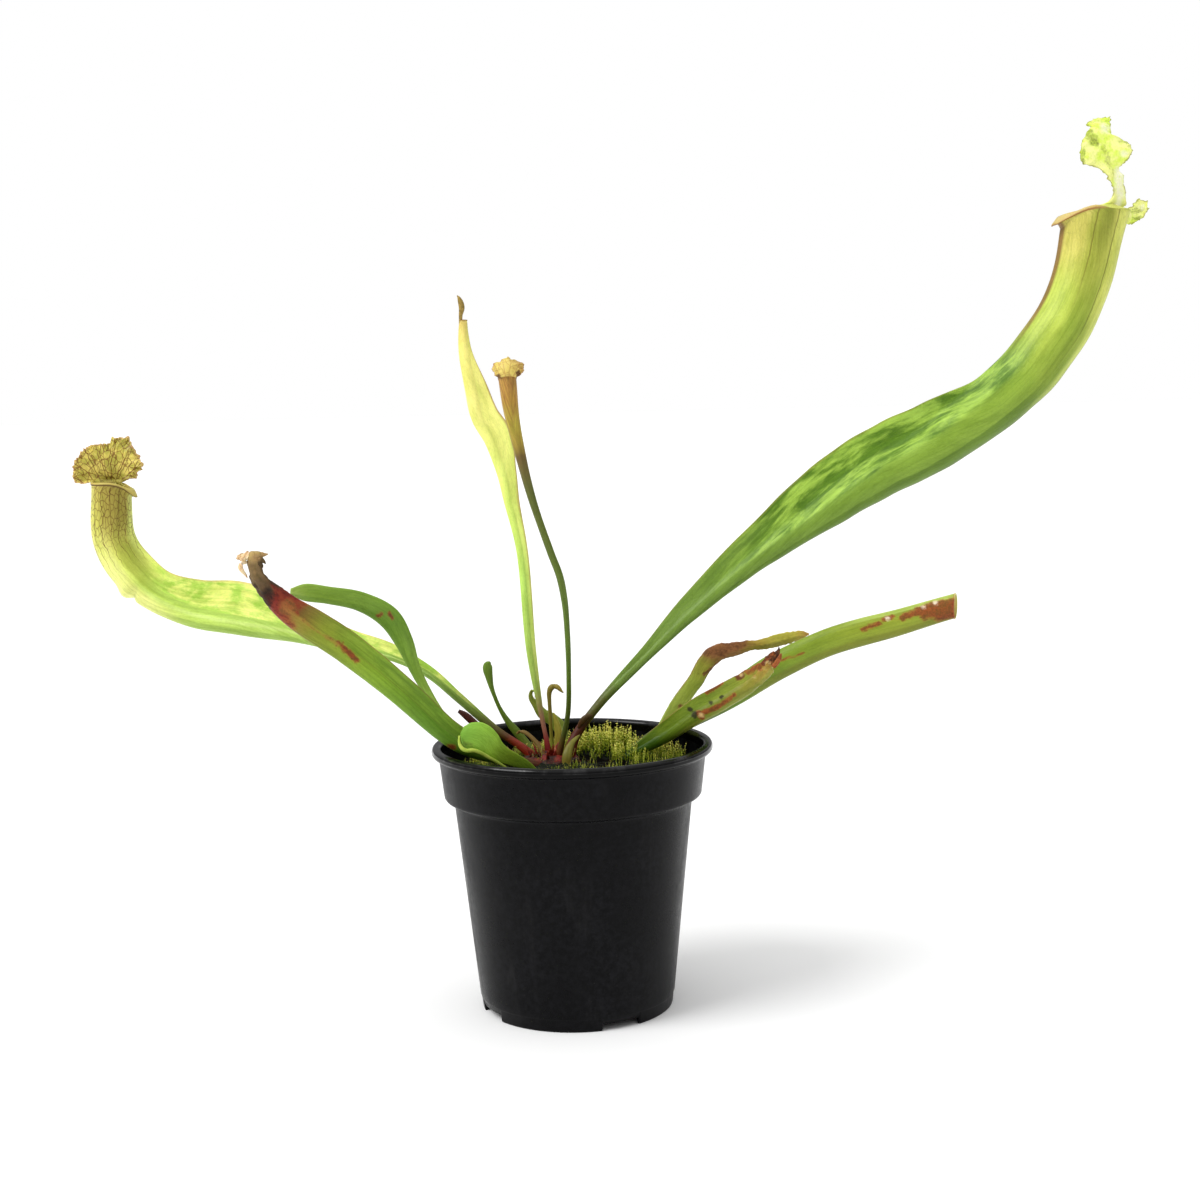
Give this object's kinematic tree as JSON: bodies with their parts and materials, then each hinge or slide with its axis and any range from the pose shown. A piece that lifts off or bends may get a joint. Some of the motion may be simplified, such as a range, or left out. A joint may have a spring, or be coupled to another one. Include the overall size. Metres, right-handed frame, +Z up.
{
  "type": "potted pitcher plant",
  "caption": "Pitcher plant with long winged hollow pitchers, bent and withered leaves and a moss cushion, rooted in a round black plastic nursery pot with a rolled lip.",
  "frame": {"origin": "middle of the underside of the pot's foot disc, on the surface the pot stands on", "axes": "+Z up along the pot's axis, +X to the viewer's right along the spread of the two longest pitchers, +Y away from the viewer"},
  "size_m": [0.4363, 0.11, 0.3441],
  "materials": {
    "pot": "black moulded polypropylene, smooth, slightly glossy",
    "peat": "dark moist peat, crumbly",
    "moss": "soft yellow-green moss",
    "crown": "red-brown old leaf bases",
    "leaf_green": "waxy mid-green leaf",
    "leaf_lime": "pale yellow-green leaf with red-brown net veins at the mouth",
    "leaf_yellow": "young pale yellow leaf",
    "leaf_olive": "olive green leaf turning brown",
    "leaf_rust": "green leaf browning from its bend",
    "leaf_tan": "dried tan leaf"
  },
  "bodies": {
    "root": {"pot": "pot", "soil": "peat", "moss": "moss", "crown": "crown", "pitcher_tall_right": "leaf_green", "pitcher_veined_left": "leaf_lime", "pitcher_withered_front": "leaf_olive", "phyllode_bent_left": "leaf_green", "pitcher_young_yellow": "leaf_yellow", "pitcher_hooded_centre": "leaf_olive", "pitcher_cut_right": "leaf_green", "leaf_rusty_right": "leaf_green", "leaf_bent_right": "leaf_rust", "leaf_spoon_front": "leaf_green", "shoot_hook_left": "leaf_olive", "shoot_curl_back": "leaf_olive", "shoot_hook_centre": "leaf_green", "shoot_blade_centre": "leaf_yellow", "shoot_bract_front": "leaf_lime", "shoot_tan_left": "leaf_tan", "stub_dead_left": "crown"}
  },
  "joints": []
}
